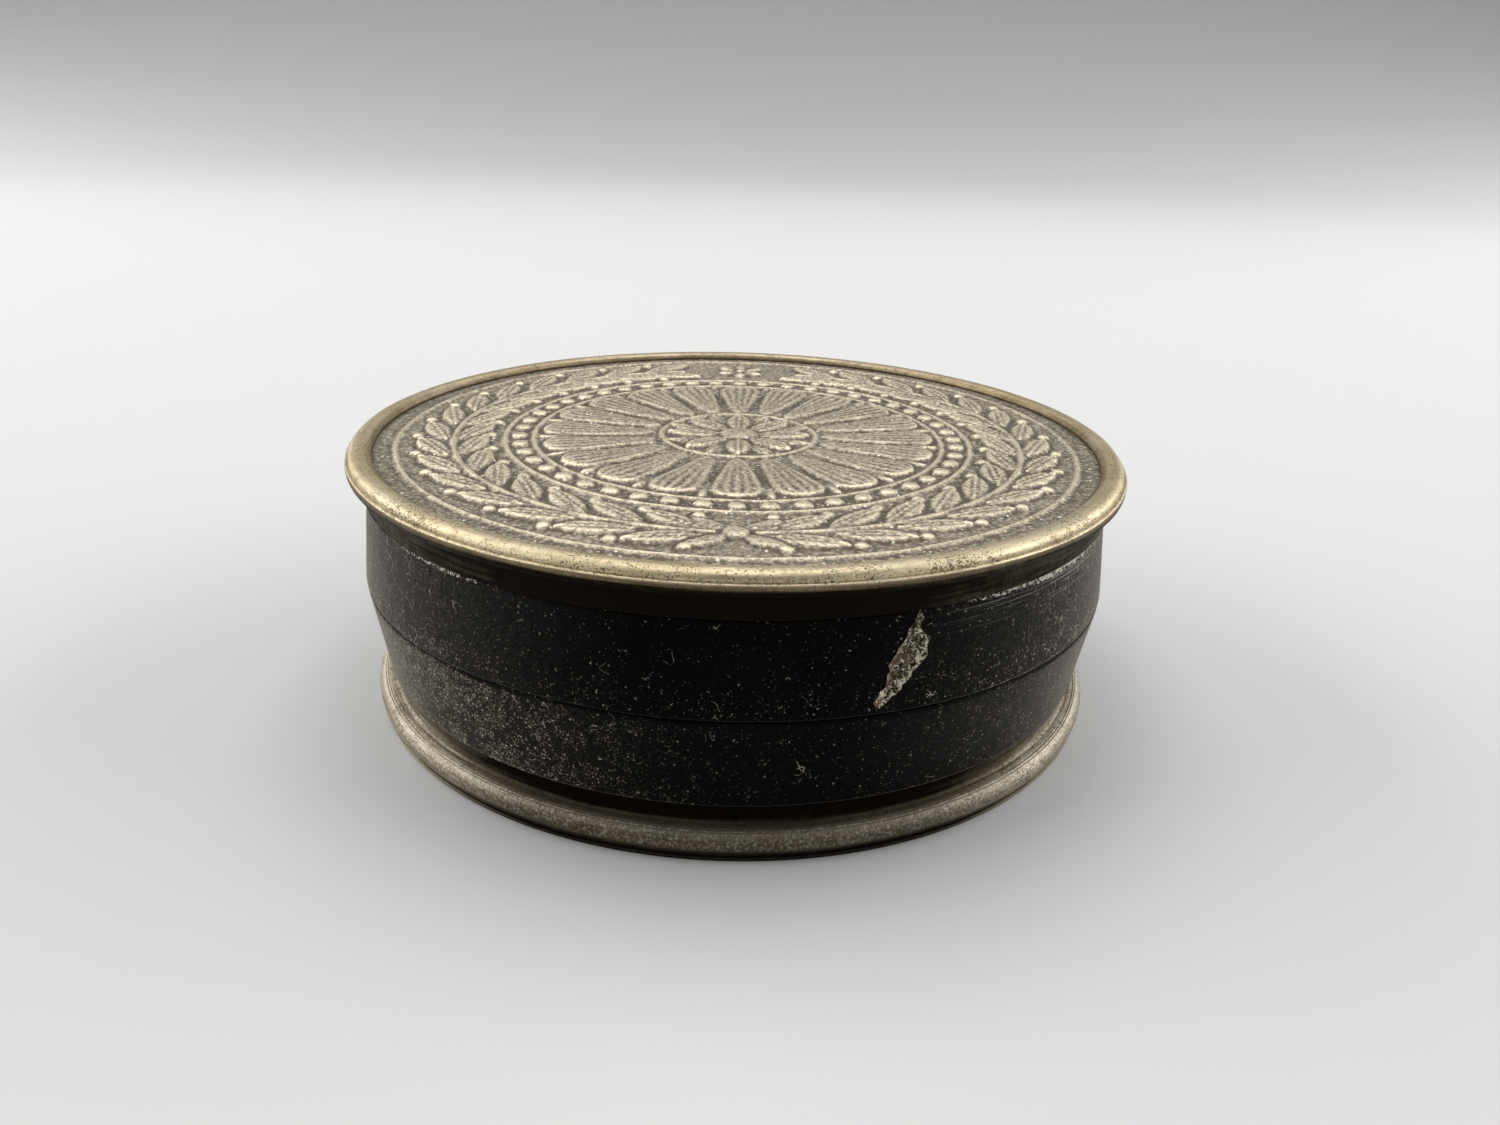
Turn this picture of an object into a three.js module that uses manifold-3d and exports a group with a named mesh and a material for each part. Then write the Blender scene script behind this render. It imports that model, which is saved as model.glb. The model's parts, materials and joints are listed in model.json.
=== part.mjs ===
// A round snuff box: a deep pull-off lid on a low base, both turned in black lacquered papier-mache and
// bound in brass, with a struck medallion in the lid. Millimetres, +Z up, origin on the table at the axis.

import * as THREE from "three";
import { mergeVertices, toCreasedNormals } from "three/addons/utils/BufferGeometryUtils.js";
import Module from "manifold-3d";

const wasm = await Module();
wasm.setup();

// The whole box
const RIM_RADIUS = 40;
const HEIGHT = 27;
const SEAM = 13.7; // height of the base's shoulder, where the lid's edge closes
const GAP = 0.05; // between pieces that are fitted or glued together
const THROAT_CLEARANCE = 0.1; // the lid's bore round the throat ring
const EDGE = 0.25; // rounding of the lacquered edges
const RING_SEGMENTS = 64;
const CURVE_STEPS = 3;
const CREASE_ANGLE = THREE.MathUtils.degToRad(20); // a sharper edge of the joined medallion is shaded as an edge

// Lid wall: flares towards its lower edge, and a neck at its top goes up inside the rim
const LID_EDGE_RADIUS = 39.1;
const LID_SHOULDER_RADIUS = 38.3;
const LID_SHOULDER = 22.4;
const LID_NECK_RADIUS = 37.9;
const LID_NECK_TOP = 25.4;
const LID_BORE = 36.3;

// Lid panel: a plug in the lid's bore with a flange in a rebate
const PANEL_BOTTOM = 23.3;
const PANEL_FLANGE_RADIUS = 36.85;
const PANEL_FLANGE_HEIGHT = 0.95;

// Medallion: field and margin at one level, with a raised fillet between them
const FIELD = 26.2;
const FILLET_RADIUS = 35.3;
const FILLET_WIDTH = 0.7;
const FILLET_HEIGHT = 0.25;

// Lid rim: skirt, hollow, rounded underside, thin ridge, groove and bead
const RIM_SKIRT_RADIUS = 38.5;
const RIM_SKIRT_TOP = 24.3;
const RIM_UNDERSIDE_RADIUS = 39.2;
const RIM_UNDERSIDE = 24.9;
const RIM_RIDGE_LOW = 25.75;
const RIM_RIDGE_HIGH = 26.05;
const RIM_BEAD_OUTER = 39.7;
const RIM_BEAD_INNER = 37.4;

// Base wall: tapers down to a neck that goes inside the foot rim, with a ledge for the throat ring
const BASE_EDGE_RADIUS = 39.05;
const BASE_FOOT_RADIUS = 37.55;
const BASE_SHOULDER = 4.75;
const BASE_NECK_RADIUS = 36.3;
const BASE_NECK_BOTTOM = 1.2;
const WELL_RADIUS = 35;
const THROAT_LEDGE = 6;
const THROAT_TOP = 21.8;

// Base floor: a plug in the well's bore with a flange in a rebate
const FLOOR_TOP = 3.4;
const FLOOR_FLANGE_RADIUS = 35.6;
const FLOOR_FLANGE_HEIGHT = 0.9;

// Lining discs and the metal plate underneath
const LINING_THICKNESS = 0.45;
const LINING_INSET = 0.3;
const PLATE_THICKNESS = 0.55;

// Foot rim: a tall cove that runs down to a half-round bead, flat contact face and the lip under the plate
const FOOT_COVE_RADIUS = 36.95;
const FOOT_BEAD_MIDDLE = 37.1; // radius at which the bead is highest and where it leaves the table
const FOOT_BEAD_WIDTH = 1.75;
const FOOT_BEAD_HEIGHT = 2.9;
const FOOT_BEAD_END = THREE.MathUtils.degToRad(80); // how far up its round the cove begins

// Ornament struck on the medallion: rosette, gadroons, pearls and a laurel wreath of two branches, with a
// tied ribbon at its foot and a small flower between its tips
const BOSS = { radius: 2.1, height: 0.65, sides: 12, rings: 6 };
const PETALS = 8;
const PETAL = { length: 6, width: 2.9, height: 0.6, start: 1.6 };
const SEPAL = { length: 3.6, width: 1.7, height: 0.4, start: 4.4 };
const GADROONS = 20;
const GADROON = { start: 8.8, length: 12, shoulder: 9.6, width: 5.3, root: 0.9, height: 0.55, sides: 6 };
const DART = { length: 4.6, width: 1.1, height: 0.4, start: 16.6 };
const PEARLS = 48;
const PEARL = { radius: 0.9, height: 0.55, ring: 23 };
const WREATH_RADIUS = 29.6;
const WREATH_STATIONS = 15;
const WREATH_START = THREE.MathUtils.degToRad(11);
const WREATH_STEP = THREE.MathUtils.degToRad(10.8);
const LEAF = { length: 6.8, width: 2.6, height: 0.65, offset: 2, splay: THREE.MathUtils.degToRad(24) };
const LEAF_SIDES = 4;
const LEAF_FULLNESS = 1.125; // of a leaf's width, how far out its outline is pulled
const KNOT = { radius: 1.25, height: 0.7, sides: 8, rings: 6 };
const RIBBON_SPLAY = THREE.MathUtils.degToRad(38);
const RIBBON_TAIL = { length: 5.2, width: 1.9, height: 0.5, start: 0.4, row: 1 };
const RIBBON_LOOP = { length: 4.4, width: 1.9, height: 0.5, start: 0.4, row: -1 };
const FLOWER_PETALS = 6;
const FLOWER_PETAL = { length: 2.6, width: 1.5, height: 0.5, start: 0.5 };
const FLOWER_EYE = { radius: 0.62, height: 0.5 };

const lacquer = { color: 0x16130f, roughness: 0.45, metalness: 0 };
const pastedPaper = { color: 0x6b4c2c, roughness: 0.85, metalness: 0 };
const tortoiseshell = { color: 0x4a2411, roughness: 0.3, metalness: 0 };
const rimBrass = { color: 0xb08f57, roughness: 0.4, metalness: 1 };
const footBrass = { color: 0xa39375, roughness: 0.42, metalness: 1 };
const darkBrass = { color: 0x7a6b4d, roughness: 0.5, metalness: 1 };

// A closed profile, radius across and height up, spun about the box's axis
function revolve(profile) {
  const points = profile.getPoints(CURVE_STEPS);
  return new THREE.LatheGeometry(points, RING_SEGMENTS).rotateX(Math.PI / 2);
}

function disc(radius, bottom, top) {
  const profile = new THREE.Path();
  profile.moveTo(0, bottom).lineTo(radius, bottom).lineTo(radius, top).lineTo(0, top);
  return revolve(profile);
}

// A closed geometry as a solid that can be joined to others
function solid(geometry) {
  const bare = geometry.clone();
  bare.deleteAttribute("normal");
  bare.deleteAttribute("uv");
  const merged = mergeVertices(bare);
  const vertProperties = merged.attributes.position.array;
  const triVerts = new Uint32Array(merged.index.array);
  return new wasm.Manifold(new wasm.Mesh({ numProp: 3, vertProperties, triVerts }));
}

function geometryOf(joined) {
  const mesh = joined.getMesh();
  const geometry = new THREE.BufferGeometry();
  geometry.setAttribute("position", new THREE.BufferAttribute(mesh.vertProperties, 3));
  geometry.setIndex(new THREE.BufferAttribute(mesh.triVerts, 1));
  return toCreasedNormals(geometry, CREASE_ANGLE);
}

function lidWall() {
  const bottom = SEAM + GAP;
  const rebate = PANEL_FLANGE_RADIUS + GAP;
  const ledge = LID_NECK_TOP - PANEL_FLANGE_HEIGHT - GAP;
  const profile = new THREE.Path();
  profile.moveTo(LID_BORE, bottom);
  profile.lineTo(LID_EDGE_RADIUS - EDGE, bottom);
  profile.lineTo(LID_EDGE_RADIUS, bottom + EDGE);
  profile.lineTo(LID_SHOULDER_RADIUS, LID_SHOULDER - EDGE);
  profile.lineTo(LID_SHOULDER_RADIUS - EDGE, LID_SHOULDER);
  profile.lineTo(LID_NECK_RADIUS, LID_SHOULDER);
  profile.lineTo(LID_NECK_RADIUS, LID_NECK_TOP);
  profile.lineTo(rebate, LID_NECK_TOP);
  profile.lineTo(rebate, ledge);
  profile.lineTo(LID_BORE, ledge);
  profile.closePath();
  return revolve(profile);
}

function lidPanel() {
  const plug = LID_BORE - GAP;
  const flangeBottom = LID_NECK_TOP - PANEL_FLANGE_HEIGHT;
  const profile = new THREE.Path();
  profile.moveTo(0, PANEL_BOTTOM);
  profile.lineTo(plug, PANEL_BOTTOM);
  profile.lineTo(plug, flangeBottom);
  profile.lineTo(PANEL_FLANGE_RADIUS, flangeBottom);
  profile.lineTo(PANEL_FLANGE_RADIUS, LID_NECK_TOP);
  profile.lineTo(0, LID_NECK_TOP);
  return revolve(profile);
}

function lidLining() {
  const top = PANEL_BOTTOM - GAP;
  return disc(LID_BORE - LINING_INSET, top - LINING_THICKNESS, top);
}

function lidBezel() {
  const inner = LID_NECK_RADIUS + GAP;
  const bottom = LID_SHOULDER + GAP;
  const lip = FIELD + GAP;
  const beadMiddle = (RIM_BEAD_OUTER + RIM_BEAD_INNER) / 2;
  const beadHalfWidth = (RIM_BEAD_OUTER - RIM_BEAD_INNER) / 2;
  const profile = new THREE.Path();
  profile.moveTo(inner, bottom);
  profile.lineTo(RIM_SKIRT_RADIUS, bottom);
  profile.lineTo(RIM_SKIRT_RADIUS, RIM_SKIRT_TOP);
  profile.quadraticCurveTo(RIM_SKIRT_RADIUS, RIM_UNDERSIDE, RIM_UNDERSIDE_RADIUS, RIM_UNDERSIDE);
  profile.quadraticCurveTo(RIM_RADIUS, RIM_UNDERSIDE, RIM_RADIUS, RIM_RIDGE_LOW);
  profile.lineTo(RIM_RADIUS, RIM_RIDGE_HIGH);
  profile.lineTo(RIM_BEAD_OUTER, RIM_RIDGE_HIGH);
  profile.absellipse(beadMiddle, lip, beadHalfWidth, HEIGHT - lip, 0, Math.PI, false, 0);
  profile.lineTo(inner, lip);
  profile.closePath();
  return revolve(profile);
}

function baseWall() {
  const rebate = FLOOR_FLANGE_RADIUS + GAP;
  const rebateTop = BASE_NECK_BOTTOM + FLOOR_FLANGE_HEIGHT + GAP;
  const throatSeat = LID_BORE - THROAT_CLEARANCE + GAP;
  const profile = new THREE.Path();
  profile.moveTo(rebate, BASE_NECK_BOTTOM);
  profile.lineTo(BASE_NECK_RADIUS, BASE_NECK_BOTTOM);
  profile.lineTo(BASE_NECK_RADIUS, BASE_SHOULDER);
  profile.lineTo(BASE_FOOT_RADIUS - EDGE, BASE_SHOULDER);
  profile.lineTo(BASE_FOOT_RADIUS, BASE_SHOULDER + EDGE);
  profile.lineTo(BASE_EDGE_RADIUS, SEAM - EDGE);
  profile.lineTo(BASE_EDGE_RADIUS - EDGE, SEAM);
  profile.lineTo(throatSeat, SEAM);
  profile.lineTo(throatSeat, THROAT_LEDGE);
  profile.lineTo(WELL_RADIUS, THROAT_LEDGE);
  profile.lineTo(WELL_RADIUS, rebateTop);
  profile.lineTo(rebate, rebateTop);
  profile.closePath();
  return revolve(profile);
}

function throatRing() {
  const outer = LID_BORE - THROAT_CLEARANCE;
  const middle = (outer + WELL_RADIUS) / 2;
  const bottom = THROAT_LEDGE + GAP;
  const shoulder = THROAT_TOP - (outer - WELL_RADIUS) / 2;
  const profile = new THREE.Path();
  profile.moveTo(WELL_RADIUS, bottom);
  profile.lineTo(outer, bottom);
  profile.lineTo(outer, shoulder);
  profile.quadraticCurveTo(outer, THROAT_TOP, middle, THROAT_TOP);
  profile.quadraticCurveTo(WELL_RADIUS, THROAT_TOP, WELL_RADIUS, shoulder);
  profile.closePath();
  return revolve(profile);
}

function baseFloor() {
  const plug = WELL_RADIUS - GAP;
  const flangeTop = BASE_NECK_BOTTOM + FLOOR_FLANGE_HEIGHT;
  const profile = new THREE.Path();
  profile.moveTo(0, BASE_NECK_BOTTOM);
  profile.lineTo(FLOOR_FLANGE_RADIUS, BASE_NECK_BOTTOM);
  profile.lineTo(FLOOR_FLANGE_RADIUS, flangeTop);
  profile.lineTo(plug, flangeTop);
  profile.lineTo(plug, FLOOR_TOP);
  profile.lineTo(0, FLOOR_TOP);
  return revolve(profile);
}

function baseLining() {
  const bottom = FLOOR_TOP + GAP;
  return disc(WELL_RADIUS - LINING_INSET, bottom, bottom + LINING_THICKNESS);
}

function basePlate() {
  const top = BASE_NECK_BOTTOM - GAP;
  return disc(BASE_NECK_RADIUS, top - PLATE_THICKNESS, top);
}

function footBezel() {
  const inner = BASE_NECK_RADIUS + GAP;
  const coveTop = BASE_SHOULDER - GAP;
  const lipTop = BASE_NECK_BOTTOM - 2 * GAP - PLATE_THICKNESS;
  const half = FOOT_BEAD_HEIGHT / 2;
  const profile = new THREE.Path();
  profile.moveTo(WELL_RADIUS, 0);
  profile.lineTo(FOOT_BEAD_MIDDLE, 0);
  profile.absellipse(FOOT_BEAD_MIDDLE, half, FOOT_BEAD_WIDTH, half, -Math.PI / 2, FOOT_BEAD_END, false, 0);
  profile.quadraticCurveTo(FOOT_COVE_RADIUS, FOOT_BEAD_HEIGHT, FOOT_COVE_RADIUS, coveTop);
  profile.lineTo(inner, coveTop);
  profile.lineTo(inner, lipTop);
  profile.lineTo(WELL_RADIUS, lipTop);
  profile.closePath();
  return revolve(profile);
}

function medallionDisc() {
  const outer = FILLET_RADIUS + FILLET_WIDTH / 2;
  const inner = FILLET_RADIUS - FILLET_WIDTH / 2;
  const profile = new THREE.Path();
  profile.moveTo(0, LID_NECK_TOP + GAP);
  profile.lineTo(LID_NECK_RADIUS, LID_NECK_TOP + GAP);
  profile.lineTo(LID_NECK_RADIUS, FIELD);
  profile.lineTo(outer, FIELD);
  profile.quadraticCurveTo(FILLET_RADIUS, FIELD + 2 * FILLET_HEIGHT, inner, FIELD);
  profile.lineTo(0, FIELD);
  return revolve(profile);
}

// Puts a motif on the field, at a radius and an angle from the front, turned from the radial direction.
// A motif's own outward direction is -Y.
function struck(geometry, radius, angle, turn) {
  const x = radius * Math.sin(angle);
  const y = -radius * Math.cos(angle);
  return geometry.rotateZ(angle + turn).translate(x, y, FIELD);
}

function boss({ radius, height, sides, rings }) {
  const ball = new THREE.SphereGeometry(radius, sides, rings).rotateX(Math.PI / 2);
  return ball.scale(1, 1, height / radius);
}

// A leaf or petal: a curved outline pointed at both ends, with a ridge along its top
function leaf({ length, width, height }) {
  const profile = new THREE.Path();
  profile.moveTo(0, -length / 2);
  profile.quadraticCurveTo(LEAF_FULLNESS * width, 0, 0, length / 2);
  const blade = new THREE.LatheGeometry(profile.getPoints(CURVE_STEPS), LEAF_SIDES);
  return blade.scale(1, 1, (2 * height) / width);
}

// A lobe that widens outwards from its root and has a round outer end
function gadroon({ length, shoulder, width, root, height, sides }) {
  const profile = new THREE.Path();
  profile.moveTo(0, 0);
  profile.lineTo(root, root);
  profile.lineTo(width / 2, shoulder);
  profile.quadraticCurveTo(width / 2, length, 0, length);
  const lobe = new THREE.LatheGeometry(profile.getPoints(CURVE_STEPS), sides);
  return lobe.scale(1, 1, (2 * height) / width).rotateZ(Math.PI);
}

function pearl({ radius, height }) {
  return new THREE.IcosahedronGeometry(radius).scale(1, 1, height / radius);
}

// A leaf that grows outwards from a point some way off
function sprig(sizes) {
  return leaf(sizes).translate(0, -sizes.start - sizes.length / 2, 0);
}

// Equal motifs all round a point of the field, each turned to face away from it
function whorl(count, motif, radius = 0, angle = 0, first = 0) {
  const turns = Array.from({ length: count }, (_, i) => first + (i * 2 * Math.PI) / count);
  return turns.map((turn) => struck(motif(), radius, angle, turn));
}

function rosette() {
  return [
    struck(boss(BOSS), 0, 0, 0),
    ...whorl(PETALS, () => sprig(PETAL)),
    ...whorl(PETALS, () => sprig(SEPAL), 0, 0, Math.PI / PETALS),
  ];
}

function gadroons() {
  return [
    ...whorl(GADROONS, () => gadroon(GADROON).translate(0, -GADROON.start, 0)),
    ...whorl(GADROONS, () => sprig(DART), 0, 0, Math.PI / GADROONS),
  ];
}

function pearls() {
  return whorl(PEARLS, () => pearl(PEARL).translate(0, -PEARL.ring, 0));
}

// Two branches that rise from the front, with leaves in pairs
function wreath() {
  const motifs = [];
  for (const side of [-1, 1]) {
    for (let i = 0; i < WREATH_STATIONS; i++) {
      const angle = side * (WREATH_START + i * WREATH_STEP);
      for (const row of [-1, 1]) {
        const turn = side * (Math.PI / 2 - row * LEAF.splay);
        motifs.push(struck(leaf(LEAF), WREATH_RADIUS + row * LEAF.offset, angle, turn));
      }
    }
  }
  return motifs;
}

function bow() {
  const motifs = [struck(boss(KNOT), WREATH_RADIUS, 0, 0)];
  for (const side of [-1, 1]) {
    for (const ribbon of [RIBBON_TAIL, RIBBON_LOOP]) {
      const turn = side * (Math.PI / 2 - ribbon.row * RIBBON_SPLAY);
      motifs.push(struck(sprig(ribbon), WREATH_RADIUS, 0, turn));
    }
  }
  return motifs;
}

function flower() {
  return [
    struck(pearl(FLOWER_EYE), WREATH_RADIUS, Math.PI, 0),
    ...whorl(FLOWER_PETALS, () => sprig(FLOWER_PETAL), WREATH_RADIUS, Math.PI),
  ];
}

function medallion() {
  const ornament = [...rosette(), ...gadroons(), ...pearls(), ...wreath(), ...bow(), ...flower()];
  return geometryOf(ornament.reduce((body, motif) => body.add(solid(motif)), solid(medallionDisc())));
}

const box = new THREE.Group();
const base = new THREE.Group();
const lid = new THREE.Group();
box.add(base, lid);

function place(group, name, geometry, finish) {
  const mesh = new THREE.Mesh(geometry, new THREE.MeshStandardMaterial(finish));
  mesh.name = name;
  group.add(mesh);
}

place(base, "foot_bezel", footBezel(), footBrass);
place(base, "base_plate", basePlate(), footBrass);
place(base, "base_floor", baseFloor(), pastedPaper);
place(base, "base_lining", baseLining(), tortoiseshell);
place(base, "base_wall", baseWall(), lacquer);
place(base, "throat_ring", throatRing(), tortoiseshell);
place(lid, "lid_wall", lidWall(), lacquer);
place(lid, "lid_lining", lidLining(), tortoiseshell);
place(lid, "lid_panel", lidPanel(), pastedPaper);
place(lid, "medallion", medallion(), darkBrass);
place(lid, "lid_bezel", lidBezel(), rimBrass);

export default box;
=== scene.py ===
# A round snuff box with black lacquered walls, brass rims and a struck medallion, dressed over its solids.
# The box's lengths are millimetres here and are turned into metres where a mesh is made. Angles run round
# the box's axis from the front, -Y, towards the viewer's right, +X.

import itertools
import json
import math

import bmesh
import bpy
import numpy as np
from mathutils import Matrix, Vector

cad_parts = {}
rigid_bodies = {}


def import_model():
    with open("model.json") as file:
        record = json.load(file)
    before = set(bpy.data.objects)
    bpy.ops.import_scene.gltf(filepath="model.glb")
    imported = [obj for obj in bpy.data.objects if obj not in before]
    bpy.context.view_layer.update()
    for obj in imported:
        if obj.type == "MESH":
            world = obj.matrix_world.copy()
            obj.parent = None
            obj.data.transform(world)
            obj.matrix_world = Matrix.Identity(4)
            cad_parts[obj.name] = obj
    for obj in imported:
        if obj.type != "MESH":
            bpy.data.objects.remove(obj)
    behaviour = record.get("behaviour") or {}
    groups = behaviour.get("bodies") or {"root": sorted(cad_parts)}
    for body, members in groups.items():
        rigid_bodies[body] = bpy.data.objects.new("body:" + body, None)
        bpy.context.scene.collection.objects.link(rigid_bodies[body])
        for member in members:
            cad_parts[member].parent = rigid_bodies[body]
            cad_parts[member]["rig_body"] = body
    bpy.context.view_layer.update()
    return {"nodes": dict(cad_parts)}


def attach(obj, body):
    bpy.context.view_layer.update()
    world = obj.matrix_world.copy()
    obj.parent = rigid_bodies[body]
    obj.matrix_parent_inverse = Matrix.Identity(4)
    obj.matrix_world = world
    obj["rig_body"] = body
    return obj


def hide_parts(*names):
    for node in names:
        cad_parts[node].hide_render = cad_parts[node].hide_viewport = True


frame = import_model()

MM = 0.001
EVEN_ROUND = np.radians(np.arange(0, 360, 0.6))

# Field and fillet of the medallion
FIELD = 26.2
MEDALLION_RADIUS = 37.9
MEDALLION_BOTTOM = 25.45
FILLET_RADIUS = 35.2
FILLET_WIDTH = 0.5
FILLET_HEIGHT = 0.25

# Ornament struck on the field, laid out as on the solid
BOSS = {"half": 2.1, "height": 0.65}
PETALS = 8
PETAL = {"length": 6.0, "width": 2.9, "height": 0.6, "start": 1.6}
SEPAL = {"length": 3.6, "width": 1.7, "height": 0.4, "start": 4.4}
GADROONS = 20
GADROON = {"start": 8.8, "length": 12.0, "shoulder": 9.6, "width": 5.3, "root": 0.9, "height": 0.55}
FLUTES = 5
DART = {"length": 4.6, "width": 1.1, "height": 0.4, "start": 16.6}
PEARLS = 48
PEARL = {"half": 0.9, "height": 0.55}
PEARL_RING = 23.0
BERRY = {"half": 0.62, "height": 0.5}
BERRY_OFFSET = 3.7
FINE_RINGS = ((8.2, 0.3, 0.25), (21.55, 0.3, 0.25), (24.45, 0.3, 0.25))
WREATH_RADIUS = 29.6
WREATH_STATIONS = 15
WREATH_START = math.radians(11)
WREATH_STEP = math.radians(10.8)
LEAF = {"length": 6.8, "width": 2.6, "height": 0.65}
LEAF_OFFSET = 2.0
LEAF_SPLAY = math.radians(24)
VEIN_SLANT = 1.3
VEIN_SPACING = 0.85
KNOT = {"half": 1.25, "height": 0.7}
RIBBON_SPLAY = math.radians(38)
RIBBONS = ((1, {"length": 5.2, "width": 1.9, "height": 0.5, "start": 0.4}),
           (-1, {"length": 4.4, "width": 1.9, "height": 0.5, "start": 0.4}))
FLOWER_PETALS = 6
FLOWER_PETAL = {"length": 2.6, "width": 1.5, "height": 0.5, "start": 0.5}
STEM_HALF_WIDTH = 0.4
STEM_HEIGHT = 0.32

# The relief's grid, how far the strike is softened, and how wide the hollows and ridges are that the
# metal's colour follows
RELIEF_CELL = 0.1
STRIKE_SOFTNESS = 0.055
HOLLOW_WIDTH = 0.55
RIDGE_WIDTH = 0.3

# The flake lost from the lid's wall: its outline as angle in degrees and height
CHIP = ((22.9, 22.3), (23.2, 20.7), (24.4, 19.9), (24.2, 18.7), (23.8, 17.9), (22.1, 16.8), (20.2, 15.9),
        (18.9, 15.0), (17.8, 14.1), (17.2, 14.9), (18.0, 15.7), (18.6, 16.9), (19.7, 18.4), (20.5, 19.4),
        (21.5, 20.4), (22.5, 22.3))
CHIP_RADIUS = 38.7
CHIP_DEPTH = 0.4
CHIP_SLOPE = 0.5
AWAY_FROM_CHIP = -9
LID_ROUND = np.radians(np.concatenate([np.arange(14, 28, 0.16), np.arange(28, 374, 0.6)]))


# Shapes

HASH_AXES = np.array([73856093, 19349663, 83492791])
HASH_SEED = 2654435761
HASH_MIX = 1274126177


def lumps(points, size, seed):
    """Smooth noise from -1 to 1 at points, with lumps of about that size."""
    cell, share = np.divmod(points / size, 1.0)
    cell = cell.astype(np.int64)
    share = share * share * (3 - 2 * share)
    total = np.zeros(points.shape[:-1])
    for corner in itertools.product((0, 1), repeat=3):
        key = (cell + corner) @ HASH_AXES + seed * HASH_SEED
        key = (key ^ (key >> 13)) * HASH_MIX
        value = ((key ^ (key >> 16)) & 0xFFFF) / 32767.5 - 1
        total += value * np.prod(np.where(corner, share, 1 - share), axis=-1)
    return total


def smooth(low, high, value):
    """0 below low, 1 above high and an even curve between them."""
    share = np.clip((value - low) / (high - low), 0, 1)
    return share * share * (3 - 2 * share)


def placed(angle, radius, height):
    """Points from angle, radius and height, in the unit of these."""
    return np.stack([radius * np.sin(angle), -radius * np.cos(angle), height], axis=-1)


def section(corners, fine=0.2, coarse=0.8, fine_beyond=37.3):
    """Points along a closed outline of (radius, height) corners. A corner may add the length of a curve's leg
    before it, or before and after it. Stretches beyond a radius get the fine spacing."""
    at = np.array([corner[:2] for corner in corners], float)
    run = []
    for i, corner in enumerate(corners):
        legs = corner[2:] or (0, 0)
        here = at[i]
        before = at[i - 1] - here
        after = at[(i + 1) % len(at)] - here
        start = here + before / np.linalg.norm(before) * legs[0]
        end = here + after / np.linalg.norm(after) * legs[-1]
        if legs[0] > 0:
            steps = max(4, round(sum(legs[:2]) / fine))
            t = np.linspace(0, 1, steps + 1)[:, None]
            run.append((1 - t) ** 2 * start + 2 * t * (1 - t) * here + t ** 2 * end)
        else:
            run.append(here[None])
    points = []
    for i, part in enumerate(run):
        following = run[(i + 1) % len(run)][0]
        gap = following - part[-1]
        both_out = min(part[-1][0], following[0]) > fine_beyond
        count = max(1, round(np.linalg.norm(gap) / (fine if both_out else coarse)))
        between = part[-1] + gap * (np.arange(1, count) / count)[:, None]
        points.append(np.concatenate([part, between]))
    return np.concatenate(points)


def piece(name, points, faces, node, material, attributes=None):
    """A closed mesh in place of a CAD node, riding on its body."""
    mesh = bpy.data.meshes.new(name)
    mesh.from_pydata(points * MM, [], faces)
    for label, values in (attributes or {}).items():
        layer = mesh.attributes.new(label, "FLOAT", "POINT")
        layer.data.foreach_set("value", np.asarray(values, np.float32).ravel())
    shape = bmesh.new()
    shape.from_mesh(mesh)
    bmesh.ops.remove_doubles(shape, verts=shape.verts, dist=1e-7)
    shape.to_mesh(mesh)
    shape.free()
    mesh.shade_smooth()
    mesh.materials.append(material)
    made = bpy.data.objects.new(name, mesh)
    bpy.context.scene.collection.objects.link(made)
    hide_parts(node)
    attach(made, frame["nodes"][node]["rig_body"])


def spun_faces(turns, stops):
    """Quads of a closed outline spun round the axis, facing out for an anticlockwise outline."""
    index = np.arange(turns * stops).reshape(turns, stops)
    ahead = np.roll(index, -1, axis=0)
    up = np.roll(index, -1, axis=1)
    both = np.roll(ahead, -1, axis=1)
    return np.stack([index, ahead, both, up], axis=-1).reshape(-1, 4).tolist()


def spun(outline, angles):
    """The angle, radius and height of every point of an outline spun round the axis."""
    angle, radius = np.meshgrid(angles, outline[:, 0], indexing="ij")
    height = np.broadcast_to(outline[:, 1], angle.shape)
    return angle, radius.copy(), height.copy()


def turned_piece(name, grid, node, material, attributes=None):
    """A closed piece from the grid of its points' angles, radii and heights."""
    points = placed(*grid).reshape(-1, 3)
    piece(name, points, spun_faces(*grid[0].shape), node, material, attributes)


def bead(middle, half_width, half_height, angles):
    """Corners of an outline along an ellipse, at angles from straight out."""
    radius, height = middle
    return [(radius + half_width * np.cos(t), height + half_height * np.sin(t)) for t in angles]


def closeness(radius, height, spots, reach):
    """1 at any of the spots of an outline, and nothing beyond about twice the reach."""
    nearest = np.full(radius.shape, np.inf)
    for spot_radius, spot_height in spots:
        nearest = np.minimum(nearest, np.hypot(radius - spot_radius, height - spot_height))
    return np.exp(-(nearest / reach) ** 2)


def sector(angle, middle, half_width):
    """1 at an angle in degrees, falling to 0 at half_width from it, round the circle."""
    away = np.abs((np.degrees(angle) - middle + 180) % 360 - 180)
    return smooth(half_width, 0, away)


# The struck relief

RELIEF_AXIS = np.arange(-MEDALLION_RADIUS - 1, MEDALLION_RADIUS + 1, RELIEF_CELL)


def dome(share):
    """Rounded height over a share of the half width, with steep sides."""
    return np.clip(1 - share ** 2, 0, 1) ** 0.42


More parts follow.
